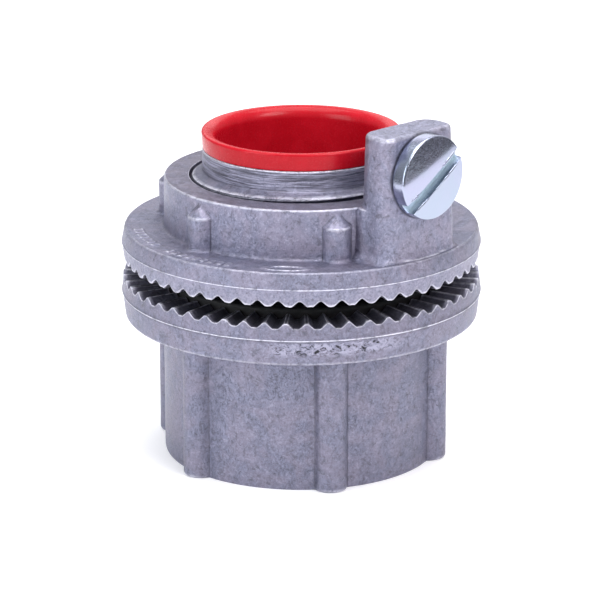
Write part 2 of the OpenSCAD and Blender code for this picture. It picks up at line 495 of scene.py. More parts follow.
def hub_teeth():
    """(r, z) rows from the rim up to the teeth, across them, and down the groove's outer wall."""
    crest = HUB_TIP_Z - TOOTH_DEPTH * tooth_depth(HUB_TEETH, HUB_TIP_ANGLE, 0.05, 0.26)
    step_r, step_z = RIM_STEP
    top = crest - 0.06
    rows = []
    for share in (0.2, 0.4, 0.6, 0.8, 0.93):
        rows.append((step_r + (RIM_UPPER_R - step_r) * share, step_z + (top - step_z) * share))
    rows.append((RIM_UPPER_R - 0.02, crest - 0.03))
    rows += [(r, crest) for r in (RIM_UPPER_R - 0.08, 21.2, 20.6, 20.0, 19.4, 18.8, 18.3)]
    rows += [(TOOTH_INNER_R + 0.1, crest - 0.05), (TOOTH_INNER_R, np.minimum(crest - 0.2, FACE_Z - 0.05))]
    return rows + [(TOOTH_INNER_R, GROOVE_FLOOR_Z + 0.2), (TOOTH_INNER_R - 0.2, GROOVE_FLOOR_Z)]


def nipple_end():
    """(r, z) points over the end of the nipple, down its bore, and over the stop in the socket."""
    end = [(NECK_R - 0.02, 37.0), (NECK_R, 37.4), (NECK_R, 37.8)]
    end += arc(NECK_R - 0.2, NIPPLE_TOP - 0.2, 0.2, 0, 90, 3)[1:]
    end += [(NIPPLE_BORE_R, NIPPLE_TOP), (NIPPLE_BORE_R, SLEEVE_END), (STOP_R + 0.1, SLEEVE_END)]
    end += [(STOP_R, SLEEVE_END - 0.1), (STOP_R, 22), (STOP_R, SOCKET_DEPTH + 0.4)]
    end += [(STOP_R + 0.4, SOCKET_DEPTH), (12.5, SOCKET_DEPTH)]
    return end + [(12.75, SOCKET_DEPTH - 0.2), (12.85, SOCKET_DEPTH - 0.5)]


def build_hub():
    shell = Shell()
    mouth, stop = shell.thread(PLAIN, socket_radius, 0.0, 15.6, PIPE_PITCH, THREAD_SHARES)
    under = [shell.ring(PLAIN, 14.7, 0), shell.ring(HUB_RIBS, 15.2, 0)]
    foot_z = [0, 0.02, 0.06, 0.13, 0.23, 0.37, 0.55, 0.8]
    wall_z = [*foot_z, *np.linspace(1.1, 15.6, 40), *np.linspace(15.75, 17.19, 9)]
    walls = shell.rings(HUB_RIBS, [(hub_wall(HUB_RIBS, z), z) for z in wall_z])
    base = shell.ring(HUB_RIBS, 18.75, FLANGE_UNDERSIDE)
    flange = shell.rings(HUB_TEETH, hub_rim() + hub_teeth())
    shell.chain(mouth, *under, *walls, base, *flange)

    groove = [(GROOVE_INNER_R + 0.2, GROOVE_FLOOR_Z), (GROOVE_INNER_R, GROOVE_FLOOR_Z + 0.2)]
    groove += [(GROOVE_INNER_R, FACE_Z - 0.15), (GROOVE_INNER_R - 0.15, FACE_Z)]
    groove = shell.rings(PLAIN, groove)
    ends = FACE_Z, 36.6
    low, high = shell.thread(PLAIN, nipple_radius, *ends, PIPE_PITCH, THREAD_SHARES, THREAD_START)
    shell.chain(flange[-1], *groove, low)
    shell.chain(high, *shell.rings(PLAIN, nipple_end()), stop)
    return shell


def hub_skin(place):
    """How uneven the hub is, in mm: the outside only, so that fits and threads stay true."""
    r = math.hypot(place.x, place.y)
    if place.z < 0.05 or r < 14.6 or (place.z > 22.0 and r < 17.6):
        return 0
    return CAST_SKIN * min(1, place.z / 0.6)


# ---------------- locknut


def nut_bore(share, height):
    """Inside of the locknut: the nipple's thread with running room, and a chamfer at each mouth."""
    thread = ROOT_R + THREAD_GAP + (CREST_R - ROOT_R) * thread_share(share, 0.10, 0.18)
    end = np.minimum(height - NUT_RECESS_Z, NUT_TOP - height)
    return np.maximum(thread, NUT_MOUTH_R - np.clip(end - 0.8, 0, 3))


def nut_wall(angles, z):
    """Outside radius of the ribbed collar at a height."""
    centre_r, bar_r = NUT_BAR
    low, high = NUT_RIB_TOP
    bar_r *= min(1.0, 1 - (z - low) / (high - low))
    wall = with_ribs(angles, NUT_RIB_ANGLE, COLLAR_R + 0.012 * (NUT_TOP - z), centre_r, bar_r)
    rise = 0.45 - min(max(z - NUT_FLANGE_TOP, 0), 0.45)
    return wall + 0.45 - math.sqrt(0.45**2 - rise**2)


def raised_marks(angles, radius):
    """Height of the marks on the flange: short rows of plain bars, and an oval ring."""
    spacing, half_w = 3.2, 0.36
    height = np.zeros_like(angles)
    for centre, bars in MARK_ROWS:
        off = np.degrees(off_centre(angles, centre, 1))
        row = np.abs(off) < spacing * bars / 2
        across = np.abs((off / spacing + bars / 2) % 1 - 0.5) * math.radians(spacing) * radius
        height += row * (1 - smooth(across, half_w - 0.2, half_w + 0.16))
    height *= 1 - smooth(abs(radius - MARK_R), 0.45, 0.8)
    half_long, half_wide = OVAL_SIZE
    off = off_centre(angles, OVAL_ANGLE, 1) * radius
    oval = np.hypot(off / half_long, (radius - OVAL_R) / half_wide)
    height += 1 - smooth(np.abs(oval - 1), 0.08, 0.32)
    return MARK_HEIGHT * height


def nut_teeth():
    """(r, z) rows from the recess out across the teeth and up the rim to its parting line."""
    tips = NUT_Z + TOOTH_DEPTH * tooth_depth(NUT_TEETH, NUT_TIP_ANGLE, 0.22, 0.06)
    rows = [(14.4, NUT_RECESS_Z), (TOOTH_INNER_R - 0.1, NUT_RECESS_Z)]
    rows.append((TOOTH_INNER_R, np.minimum(tips + 0.15, NUT_RECESS_Z - 0.02)))
    rows += [(r, tips) for r in (TOOTH_INNER_R + 0.15, 18.4, 19.1, 19.8, 20.5, 21.1, RIM_LOWER_R - 0.1)]
    rows.append((RIM_LOWER_R - 0.02, tips + 0.04))
    start = tips + 0.1
    end = NUT_PARTING_Z - 0.14
    for share in (0.12, 0.3, 0.5, 0.7, 0.88, 1.0):
        rows.append((RIM_LOWER_R + 0.01 + 0.25 * share, start + (end - start) * share))
    return rows


def nut_flange():
    """(r, z) rows from the parting line over the rim and across the raised marks."""
    rows = [(21.86, 26.44), (21.89, 26.49), (21.89, 26.53), (21.85, 26.58), (21.82, 26.66)]
    rows += zip(np.linspace(21.8, 21.56, 5), np.linspace(26.9, 28.1, 5))
    rows += arc(21.5 - 0.28, NUT_FLANGE_TOP - 0.28, 0.28, 10, 90, 5)
    for r in (21.0, 20.85, 20.72, 20.6, 20.48, 20.3, 20.0, 19.7, 19.52, 19.4, 19.28, 19.15, 19.0):
        rows.append((r, NUT_FLANGE_TOP + raised_marks(NUT_TEETH, r)))
    return rows


def nut_collar():
    """(r, z) rows in along the flange, up the ribbed collar, and across its machined top."""
    foot = nut_wall(NUT_RIBS, NUT_FLANGE_TOP)
    rows = [(18.82 + (foot - 18.82) * share, NUT_FLANGE_TOP) for share in (0, 0.25, 0.5, 0.75)]
    foot_z = NUT_FLANGE_TOP + np.array([0, 0.02, 0.07, 0.14, 0.23, 0.35, 0.5])
    wall_z = [*foot_z, *np.linspace(29.3, 32.5, 12), *np.linspace(32.58, 34.1, 12), 34.25]
    rows += [(nut_wall(NUT_RIBS, z), z) for z in wall_z]
    rows += arc(COLLAR_R - 0.25, NUT_TOP - 0.25, 0.25, 0, 90, 4)
    return rows + [(r, NUT_TOP) for r in np.linspace(16.15, 13.95, 9)]


def build_nut_shell():
    shell = Shell()
    ends = NUT_RECESS_Z, NUT_TOP
    low, high = shell.thread(PLAIN, nut_bore, *ends, PIPE_PITCH, THREAD_SHARES, THREAD_START)
    flange = shell.rings(NUT_TEETH, nut_teeth() + nut_flange())
    collar = shell.rings(NUT_RIBS, nut_collar())
    mouth = shell.ring(PLAIN, 13.72, NUT_TOP)
    shell.chain(low, *flange, *collar, mouth, high)
    return shell


def lug_outline(half_w, back, front, round_back, round_front):
    """Closed outline of the lug in plan, as (along the face, away from the axis), with round corners."""
    corners = (
        (-half_w + round_back, back + round_back, round_back, 180),
        (half_w - round_back, back + round_back, round_back, 270),
        (half_w - round_front, front - round_front, round_front, 0),
        (-half_w + round_front, front - round_front, round_front, 90),
    )
    points = []
    for x, y, radius, start in corners:
        turns = np.radians(np.linspace(start, start + 90, 11))
        bow = [(x + radius * math.cos(t), y + radius * math.sin(t)) for t in turns]
        if points:
            points += straight(points[-1], bow[0])
        points += bow
    points += straight(points[-1], points[0])
    return np.array(points)


def straight(start, end, step=0.42):
    """Points strictly between two points, about step apart."""
    count = max(int(math.dist(start, end) / step), 1)
    run, rise = end[0] - start[0], end[1] - start[1]
    return [(start[0] + run * i / count, start[1] + rise * i / count) for i in range(1, count)]


def outward(outline):
    """Unit normals of a closed outline that runs counter-clockwise."""
    along = np.roll(outline, -1, axis=0) - np.roll(outline, 1, axis=0)
    normals = np.stack([along[:, 1], -along[:, 0]], axis=-1)
    return normals / np.linalg.norm(normals, axis=1)[:, None]


def at_lug(along, away, z):
    """A point given along the lug's face, away from the axis, and up."""
    sine, cosine = math.sin(math.radians(LUG_ANGLE)), math.cos(math.radians(LUG_ANGLE))
    return away * sine + along * cosine, along * sine - away * cosine, z


def lug_heights():
    """Levels of the lug, closer together in its fillets and round top."""
    foot = LUG_FOOT_Z + LUG_FILLET * (1 - np.cos(np.radians(np.linspace(0, 90, 8))))
    middle = [*np.linspace(30.1, 34.2, 9), 34.45, 34.6, 34.7, 34.85, 35.0, 35.2]
    top = LUG_TOP - LUG_ROUND
    bow = top + LUG_ROUND * np.sin(np.radians(np.linspace(15, 90, 6)))
    return [NUT_FLANGE_TOP - 1.2, *foot, *middle, *np.linspace(35.6, top, 18), *bow]


def lug_offset(outline, z):
    """How far each point of the lug's outline moves out at a height.

    Draft, the fillet on the flange, the round top, the corners with the collar, and the sill behind.
    """
    grow = LUG_DRAFT * (LUG_TOP - z) / (LUG_TOP - NUT_FLANGE_TOP)
    low = min(max(LUG_FOOT_Z + LUG_FILLET - z, 0), LUG_FILLET)
    grow += LUG_FILLET - math.sqrt(LUG_FILLET**2 - low**2)
    high = min(max(z - (LUG_TOP - LUG_ROUND), 0), LUG_ROUND)
    grow -= LUG_ROUND - math.sqrt(max(LUG_ROUND**2 - high**2, 0))
    near_wall = smooth(17.6 - np.hypot(outline[:, 0], outline[:, 1]), 0, 0.9)
    corner = 0.5 * near_wall**2 * (1 - smooth(z, 34.2, 34.6))
    step_up = min(max(SILL_Z - z, 0), SILL_R)
    behind = smooth(17.4 - outline[:, 1], 0, 0.9)
    return grow + corner + behind * (SILL_R - math.sqrt(SILL_R**2 - step_up**2))


def build_lug():
    """The bonding lug, a stack of outlines that closes to a spine at the top."""
    outline = lug_outline(LUG_HALF_W, LUG_BACK, LUG_FACE, 2.28, 1.47)
    normals = outward(outline)
    levels = []
    for z in lug_heights():
        moved = outline + normals * lug_offset(outline, z)[:, None]
        reach = np.hypot(moved[:, 0], moved[:, 1])
        levels.append((z, moved * np.minimum(1, LUG_REACH / reach)[:, None]))
    middle = np.full(len(outline), (LUG_BACK + LUG_FACE) / 2)
    spine = np.stack([np.clip(outline[:, 0], -3.2, 3.2), middle], axis=-1)
    inner = outline - normals * LUG_ROUND
    levels += [(LUG_TOP, inner + (spine - inner) * share) for share in (0.2, 0.4, 0.6, 0.8)]

    shell = Shell()
    rings = []
    for z, points in levels:
        rings.append((len(shell.points), points))
        shell.points.extend(at_lug(x, y, z) for x, y in points)
    shell.chain(*rings)
    shell.close(rings[0], rings[-1])
    return shell


def turned(outline):
    """A ring turned round Z from a closed outline of (r, z) points."""
    shell = Shell()
    rings = shell.rings(PLAIN, outline)
    shell.chain(*rings, rings[0])
    return shell


def screw_frame():
    """Turns a shape made round Z so that Z points out along the bonding screw from the lug's face."""
    axes = Matrix((at_lug(1, 0, 0), (0, 0, 1), at_lug(0, 1, 0))).transposed().to_4x4()
    return Matrix.Translation(Vector(at_lug(0, LUG_FACE, SCREW_Z)) * MM) @ axes


def tapped_hole():
    """Cutter for the lug's hole, with a small countersink at each end."""
    r, back = SCREW_R + 0.05, LUG_BACK - LUG_FACE
    outline = [(r + 1.75, back - 1.5), (r + 0.25, back - 0.3), (r, back + 0.1)]
    outline += [(r, -0.25), (r + 0.5, 0.25), (r + 1.5, 1.25)]
    shell = Shell()
    rings = shell.rings(PLAIN[::3], outline)
    shell.chain(*rings)
    shell.close(rings[0], rings[-1])
    return shell


def build_locknut():
    nut = build_nut_shell().piece("locknut_casting")
    lug = build_lug().piece("lug")
    roughen(nut.data, nut_skin)
    roughen(lug.data, lug_skin)
    hole_mesh = tapped_hole().mesh("hole")
    hole_mesh.transform(screw_frame())
    combine(lug, new_object("hole", hole_mesh), "DIFFERENCE")
    combine(nut, lug, "UNION")
    return nut


def nut_skin(place):
    """How uneven the locknut's cast skin is, in mm."""
    r = math.hypot(place.x, place.y)
    if r < 14.0 or (place.z < NUT_RECESS_Z + 0.2 and r < 17.6):
        return 0
    return CAST_SKIN


def lug_skin(place):
    """How uneven the lug is, in mm: nothing under the screw's head."""
    along = place.dot(Vector(at_lug(1, 0, 0)))
    return LUG_SKIN * float(smooth(math.hypot(along, place.z - SCREW_Z), HEAD_R, HEAD_R + 1))


# ---------------- throat, seal and screw


def build_throat():
    inner, outer = 1.45, 0.32
    end, snap_r = SLEEVE_END, SLEEVE_R + 0.18
    outline = [(THROAT_R, end + 0.3), (THROAT_R + 0.15, end + 0.12), (SLEEVE_R - 0.15, end + 0.12)]
    outline += [(SLEEVE_R, end + 0.3), (SLEEVE_R, end + 1.1), (snap_r, end + 1.4)]
    outline += [(snap_r, end + 1.7), (SLEEVE_R, end + 2.1), (SLEEVE_R, NIPPLE_TOP + 0.02)]
    outline += [(LIP_R - 0.25, NIPPLE_TOP + 0.02)]
    outline += arc(LIP_R - 0.25, NIPPLE_TOP + 0.14, 0.12, -60, 0, 2)
    outline += [(LIP_R - 0.10, 38.6), (LIP_R - 0.07, 39.0), (LIP_R - 0.02, LIP_TOP - outer)]
    outline += arc(LIP_R - 0.02 - outer, LIP_TOP - outer, outer, 10, 90, 8)
    inner_r = LIP_R - 0.02 - outer - THROAT_R
    for t in np.radians(np.linspace(90, 180, 12))[1:]:
        outline.append((THROAT_R + inner_r + inner_r * math.cos(t), LIP_TOP - inner + inner * math.sin(t)))
    outline += [(THROAT_R, 38.0), (THROAT_R, 36.5), (THROAT_R, 33.0)]
    return turned(outline)


def build_seal():
    inner, outer, low, high, edge = 14.7, 17.5, GROOVE_FLOOR_Z + 0.02, 22.98, 0.45
    outline = arc(inner + edge, low + edge, edge, 180, 270, 4)
    outline += arc(outer - edge, low + edge, edge, 270, 360, 4)
    outline += arc(outer - edge, high - edge, edge, 0, 90, 4)
    outline += [(16.6, high - 0.12), (16.1, high - 0.16), (15.6, high - 0.12)]
    outline += arc(inner + edge, high - edge, edge, 90, 180, 4)
    return turned(outline)


def shank_radius(share, height):
    """Outside of the bonding screw's shank, with a tapered point and a plain bit under the head."""
    thread = 1.93 + (SCREW_R - 1.93) * thread_share(share, 0.16, 0.2)
    point = 1.7 + (height + SCREW_LEN) * 1.2
    plain = smooth(height, -0.75, -0.3)
    return np.minimum(thread * (1 - plain) + 2.0 * plain, point)


def crown(r):
    """Height of the head's domed face at a distance from its centre."""
    return HEAD_H - (HEAD_H - CROWN_EDGE[1]) * (r / CROWN_EDGE[0]) ** 2


def build_screw():
    """Shank and head in one closed surface, before the slot is cut."""
    shell = Shell()
    around = np.linspace(0, TURN, 96, endpoint=False)
    shares = [0, 0.08, 0.24, 0.40, 0.60, 0.76, 0.92]
    tip, neck = shell.thread(around, shank_radius, -SCREW_LEN, -0.05, SCREW_PITCH, shares)
    shell.close(tip)
    outline = [(2.05, 0.03), (2.3, 0.02), (4.6, 0.02), (4.8, 0.05), (4.9, 0.1), (4.97, 0.18)]
    outline += [(HEAD_R, 0.3), (HEAD_R, 0.75), (HEAD_R, 1.2), (HEAD_R - 0.01, 1.6)]
    outline += arc(CROWN_EDGE[0], CROWN_EDGE[1] - 0.25, 0.25, 5, 85, 5)
    outline.append(CROWN_EDGE)
    for share in (0.08, 0.2, 0.35, 0.5, 0.65, 0.8, 0.92):
        r = CROWN_EDGE[0] * (1 - share)
        outline.append((r, crown(r)))
    rings = shell.rings(around, outline)
    shell.chain(neck, *rings)
    shell.close(rings[-1])
    return shell


def head_bar(name, rows):
    """A closed bar along the driver slot, from rows of points round it."""
    data = bpy.data.meshes.new(name)
    work = bmesh.new()
    rows = [[work.verts.new(point) for point in row] for row in rows]
    for a, b in zip(rows, rows[1:]):
        for i in range(len(a)):
            j = (i + 1) % len(a)
            work.faces.new((a[i], a[j], b[j], b[i]))
    work.faces.new(rows[0])
    work.faces.new(rows[-1])
    bmesh.ops.recalc_face_normals(work, faces=work.faces)
    work.to_mesh(data)
    work.free()
    data.transform(Matrix.Rotation(math.radians(SLOT_TILT), 4, "Z") @ Matrix.Scale(MM, 4))
    return new_object(name, data)


def slot_cutter():
    """Cutter for the slot, slightly wider at the top, with uneven walls as a saw leaves them."""
    floor = HEAD_H - SLOT_DEPTH
    half = SLOT_W / 2
    rows = []
    for x in np.linspace(-HEAD_R - 0.6, HEAD_R + 0.6, 61):
        wander = 0.02 * noise.noise(Vector((x * 1.3, 3.1, 0)))
        ragged = 0.05 * noise.noise(Vector((x * 3.7, 9.4, 0))) * smooth(abs(x), 2.5, 4.8)
        section = (
            (-half + 0.04 + wander, floor),
            (half - 0.04 + wander, floor),
            (half + wander, HEAD_H - 0.25),
            (half + 0.05 + wander + ragged, HEAD_H + 0.3),
            (-half - 0.05 + wander + ragged, HEAD_H + 0.3),
            (-half + wander, HEAD_H - 0.25),
        )
        rows.append([(x, y - SLOT_OFF_CENTRE, z) for y, z in section])
    return head_bar("slot", rows)


def burr(x_from, x_to, side, height, seed):
    """A thin rag of metal pushed up along an edge of the slot."""
    rows = []
    for share in np.arange(27) / 26:
        x = x_from + (x_to - x_from) * share
        swell = math.sin(math.pi * share) ** 0.5 * (0.65 + 0.6 * noise.noise(Vector((x * 2.9, seed, 0))))
        r = max(height * swell, 0.004)
        wander = 0.05 * noise.noise(Vector((x * 2.1, seed + 5, 0)))
        y = side * (SLOT_W / 2 + 0.03) - SLOT_OFF_CENTRE + wander
        z = crown(math.hypot(x, y)) - 0.02
        turns = [TURN * k / 8 for k in range(8)]
        rows.append([(x, y + r * math.cos(t), z + r * 0.8 * math.sin(t)) for t in turns])
    return head_bar("burr", rows)


def mark_slot(data):
    """Marks the walls and floor of the slot, which get a painted teal reflection and a rougher finish, and
    the head's front face.
    """
    places = (coordinates(data, "co") / MM) - np.array(at_lug(0, LUG_FACE, SCREW_Z))
    out = np.array(at_lug(0, 1, 0))
    height = places @ out
    radius = np.linalg.norm(places - height[:, None] * out, axis=1)
    deep = smooth(HEAD_H - height, 0.22, 0.42) * (height > 0.7)
    store(data, "slot", deep * (1 - smooth(radius, HEAD_R - 0.12, HEAD_R - 0.04)))
    store(data, "face", smooth(height, CROWN_EDGE[1] - 0.15, CROWN_EDGE[1]))


def build_bonding_screw():
    screw = build_screw().piece("bonding_screw_plated")
    combine(screw, slot_cutter(), "DIFFERENCE")
    # Where each burr starts and ends along the slot, its side, its height and its seed.
    rags = (
        (-4.5, -1.8, -1, 0.24, 1.0),
        (-4.4, -2.6, 1, 0.22, 2.0),
        (0.4, 4.3, -1, 0.22, 3.0),
        (1.6, 4.5, 1, 0.27, 4.0),
        (-1.6, 0.9, -1, 0.13, 6.0),
    )
    for start, end, side, height, seed in rags:
        combine(screw, burr(start, end, side, height, seed), "UNION")
    screw.data.transform(screw_frame())
    return screw


# ---------------- materials


class Material:
    """A node material being put together."""

    def __init__(self, name, colour, metallic, roughness):
        self.made = bpy.data.materials.new(name)
        self.made.use_nodes = True
        self.made.diffuse_color = (*colour, 1)
        self.tree = self.made.node_tree
        self.shader = self.tree.nodes["Principled BSDF"]
        self.shader.inputs["Base Color"].default_value = (*colour, 1)
        self.shader.inputs["Metallic"].default_value = metallic
        self.shader.inputs["Roughness"].default_value = roughness
        self.place = self.node("TexCoord").outputs["Object"]

    def node(self, kind):
        return self.tree.nodes.new("ShaderNode" + kind)

    def link(self, source, target):
        if isinstance(source, (int, float)):
            target.default_value = source
        elif isinstance(source, tuple):
            target.default_value = (*source, 1) if len(source) == 3 else source
        else:
            self.tree.links.new(source, target)

    def noise(self, scale, detail=3.0, rough=0.55, distort=0.0, stretch=None):
        """Noise with its size in cells per millimetre."""
        made = self.node("TexNoise")
        made.inputs["Scale"].default_value = scale / MM
        made.inputs["Detail"].default_value = detail
        made.inputs["Roughness"].default_value = rough
        made.inputs["Distortion"].default_value = distort
        place = self.place
        if stretch:
            mapping = self.node("Mapping")
            mapping.inputs["Scale"].default_value = stretch
            self.tree.links.new(place, mapping.inputs["Vector"])
            place = mapping.outputs["Vector"]
        self.tree.links.new(place, made.inputs["Vector"])
        return made.outputs["Fac"]

    def attribute(self, name):
        made = self.node("Attribute")
        made.attribute_name = name
        return made.outputs["Fac"]

    def ramp(self, value, low, high, to_low=0.0, to_high=1.0):
        """Maps low..high of a value to another range, without leaving it."""
        made = self.node("MapRange")
        made.interpolation_type = "SMOOTHSTEP"
        numbers = {"From Min": low, "From Max": high, "To Min": to_low, "To Max": to_high}
        for name, number in numbers.items():
            made.inputs[name].default_value = number
        self.link(value, made.inputs["Value"])
        return made.outputs["Result"]

    def math(self, operation, a, b=0.0):
        made = self.node("Math")
        made.operation = operation
        self.link(a, made.inputs[0])
        self.link(b, made.inputs[1])
        return made.outputs["Value"]

    def vector(self, operation, a, b=None):
        made = self.node("VectorMath")
        made.operation = operation
        self.tree.links.new(a, made.inputs[0])
        if b is not None:
            made.inputs[1].default_value = b
        return made

    def mix(self, share, one, other):
        made = self.node("Mix")
        made.data_type = "RGBA"
        self.link(share, made.inputs["Factor"])
        self.link(one, made.inputs["A"])
        self.link(other, made.inputs["B"])
        return made.outputs["Result"]

    def bump(self, height, distance, strength=1.0, before=None):
        """Adds relief. Distance is in millimetres."""
        made = self.node("Bump")
        made.inputs["Distance"].default_value = distance * MM
        made.inputs["Strength"].default_value = strength
        self.link(height, made.inputs["Height"])
        if before:
            self.tree.links.new(before, made.inputs["Normal"])
        return made.outputs["Normal"]

    def finish(self, colour=None, roughness=None, normal=None):
        for name, source in (("Base Color", colour), ("Roughness", roughness), ("Normal", normal)):
            if source is not None:
                self.link(source, self.shader.inputs[name])
        return self.made


def shade(tint, factor):
    """A tint made darker or paler, by one factor or by one for each channel."""
    return tuple(np.multiply(tint, factor).tolist())


class CastZinc(Material):
    """As-cast zinc alloy: the noises that its layers share, and the colour so far."""

    def __init__(self, name, tint):
        super().__init__(name, tint, 0.85, 0.5)
        self.tint = tint
        self.colour = shade(tint, (1.00, 0.95, 0.97))
        self.blotches = self.noise(0.25, 4, 0.6, 0.8)
        self.mottle = self.noise(1.3, 6, 0.72, 0.5)
        self.grain = self.noise(3.6, 4, 0.65)
        self.specks = self.noise(2.4, 4, 0.7, 0.8)
        self.sand = self.noise(3.2, 3, 0.65)

    def both(self, one, other):
        return self.math("MULTIPLY", one, other)

    def marked(self, name, share):
        """A share that counts only where the mesh is marked with this name."""
        return self.both(self.attribute(name), share)

    def lay(self, share, colour):
        """Lays a colour over the colour so far."""
        self.colour = self.mix(share, self.colour, colour)

    def tone(self, share, factor):
        """Lays a shade of the tint over the colour so far."""
        self.lay(share, shade(self.tint, factor))


def lay_skin(m):
    """Blotches, pale and dark mottle, flow marks, creases, grit and specks. Returns the creases."""
    m.tone(m.ramp(m.blotches, 0.38, 0.62), (0.95, 0.98, 1.04))
    m.tone(m.ramp(m.mottle, 0.50, 0.74, 0, 0.8), 1.6)
    m.tone(m.ramp(m.mottle, 0.50, 0.30, 0, 0.85), 0.48)
    flow = m.noise(0.8, 5, 0.62, 2.6, stretch=(1, 1, 0.5))
    m.tone(m.ramp(flow, 0.56, 0.68, 0, 0.5), 0.48)
    creases = m.ramp(m.math("ABSOLUTE", m.math("SUBTRACT", flow, 0.5)), 0.016, 0.004)
    creases = m.both(creases, m.ramp(m.blotches, 0.42, 0.60))
    m.tone(m.both(creases, 0.5), 0.42)
    m.tone(m.marked("grit", m.ramp(m.sand, 0.36, 0.70, 0, 0.8)), 1.4)
    m.tone(m.ramp(m.grain, 0.54, 0.70, 0, 0.5), 1.6)
    m.tone(m.ramp(m.grain, 0.46, 0.30, 0, 0.5), 0.48)
    m.tone(m.ramp(m.specks, 0.64, 0.70, 0, 0.8), 0.3)
    return creases


def lay_machined(m):
    """Lathe streaks on the neck, a painted dark reflection on the collar's machined top, and scuffs with
    painted top light on the lug's top.
    """
    lathe = m.noise(0.22, 4, 0.7, stretch=(1, 1, 30))
    streaks = m.mix(m.ramp(lathe, 0.38, 0.64), shade(m.tint, 0.36), shade(m.tint, 2.1))
    m.lay(m.marked("turned", 0.8), streaks)
    # Painted dark reflection on the collar's machined top.
    m.tone(m.marked("faced_dark_reflection", m.ramp(m.mottle, 0.35, 0.70, 0.85, 0.15)), FACED_DARK_REFLECTION)
    # Lighter patches on the lug's upward-facing top: scuffs and painted top light.
    m.tone(m.marked("scuffed_lit_top", m.ramp(m.specks, 0.42, 0.60, 0, 0.45)), 2.1)


def lay_scars_and_shade(m):
    """Painted shade in the gap between the flanges and a little over the locknut's flange, a painted shadow
    round the screw's head, and the flaked patch.
    """
    # Painted shade between the flanges, and a little over the locknut's flange.
    m.tone(m.marked("gap", 0.62), 0.25)
    # A painted shadow in a thin ring round the screw's head.
    m.lay(head_shadow_ring(m), (0.02, 0.02, 0.03))
    pits = m.noise(1.2, 5, 0.7, 1.2, stretch=(1, 1, 1.5))
    m.tone(m.marked("flake", m.ramp(pits, 0.46, 0.56)), 1.6)
    m.lay(m.marked("flake", m.ramp(pits, 0.44, 0.38)), (0.03, 0.03, 0.035))


def cast_zinc(name, tint):
    """As-cast zinc alloy: mottled grey and satin, with machined faces, scars, painted shade and shadow, a
    painted reflection, painted top light, and edge wear that also serves as painted highlights.
    """
    m = CastZinc(name, tint)
    creases = lay_skin(m)
    lay_machined(m)
    lay_scars_and_shade(m)
    # Proud edges painted much paler and made less rough: edge wear, and painted highlights along the edges.
    wear_and_highlight = m.marked("edge", m.ramp(m.mottle, 0.34, 0.56, 0.25, 1.0))
    m.lay(wear_and_highlight, EDGE_WEAR_AND_HIGHLIGHT)
    # Painted shade in hollows, creases and corners.
    m.tone(m.marked("hollow", m.ramp(m.blotches, 0.3, 0.7, 0.45, 0.9)), 0.28)
    rough = m.math("SUBTRACT", m.ramp(m.mottle, 0.25, 0.75, 0.30, 0.54), m.both(wear_and_highlight, 0.12))
    normal = m.bump(m.mottle, 0.16, 0.9)
    normal = m.bump(m.grain, 0.07, 0.9, normal)
    normal = m.bump(m.specks, 0.08, 0.4, normal)
    normal = m.bump(m.both(creases, -1.0), 0.05, 0.8, normal)
    normal = m.bump(m.marked("grit", m.sand), 0.12, 0.9, normal)
    return m.finish(m.colour, rough, normal)


def head_shadow_ring(m):
    """Share of painted shadow on the lug's front face, in a thin ring round the screw's head."""
    out = Vector(at_lug(0, 1, 0))
    away = m.vector("SUBTRACT", m.place, Vector(at_lug(0, LUG_FACE, SCREW_Z)) * MM)
    across = m.vector("CROSS_PRODUCT", away.outputs["Vector"], out)
    distance = m.vector("LENGTH", across.outputs["Vector"]).outputs["Value"]
    ring = m.ramp(distance, (HEAD_R - 0.05) * MM, (HEAD_R + 0.28) * MM, 0.75, 0)
    ring = m.math("MULTIPLY", ring, m.ramp(distance, (HEAD_R - 0.6) * MM, (HEAD_R - 0.2) * MM))
    front = m.vector("DOT_PRODUCT", m.place, out).outputs["Value"]
    return m.math("MULTIPLY", ring, m.ramp(front, (LUG_FACE - 1) * MM, (LUG_FACE - 0.4) * MM))


def red_plastic():
    m = Material("red_plastic", (0.42, 0.006, 0.013), 0.0, 0.25)
    m.shader.inputs["Specular IOR Level"].default_value = 0.2
    m.shader.inputs["Coat Weight"].default_value = 0.02
    m.shader.inputs["Coat Roughness"].default_value = 0.12
    m.shader.inputs["Subsurface Weight"].default_value = 0.06
    m.shader.inputs["Subsurface Radius"].default_value = (0.002, 0.0005, 0.0005)
    clouds = m.noise(0.35, 3)
    scuffs = m.noise(2.2, 5, 0.7, 1.5)
    colour = m.mix(m.ramp(clouds, 0.35, 0.7), (0.45, 0.0045, 0.013), (0.51, 0.007, 0.018))
    colour = m.mix(m.ramp(scuffs, 0.66, 0.8, 0, 0.35), colour, (0.52, 0.04, 0.05))
    rough = m.ramp(scuffs, 0.3, 0.75, 0.18, 0.34)
    normal = m.bump(clouds, 0.05, 0.5)
    normal = m.bump(m.noise(5.0, 3), 0.012, 0.5, normal)
    return m.finish(colour, rough, normal)


def black_rubber():
    m = Material("black_rubber", (0.012, 0.012, 0.013), 0.0, 0.6)
    dust = m.noise(3.0, 4, 0.7)
    colour = m.mix(m.ramp(dust, 0.55, 0.75, 0, 0.4), (0.010, 0.010, 0.011), (0.035, 0.035, 0.04))
    rough = m.ramp(dust, 0.3, 0.7, 0.5, 0.75)
    return m.finish(colour, rough, m.bump(m.noise(6.0, 3), 0.03, 0.5))


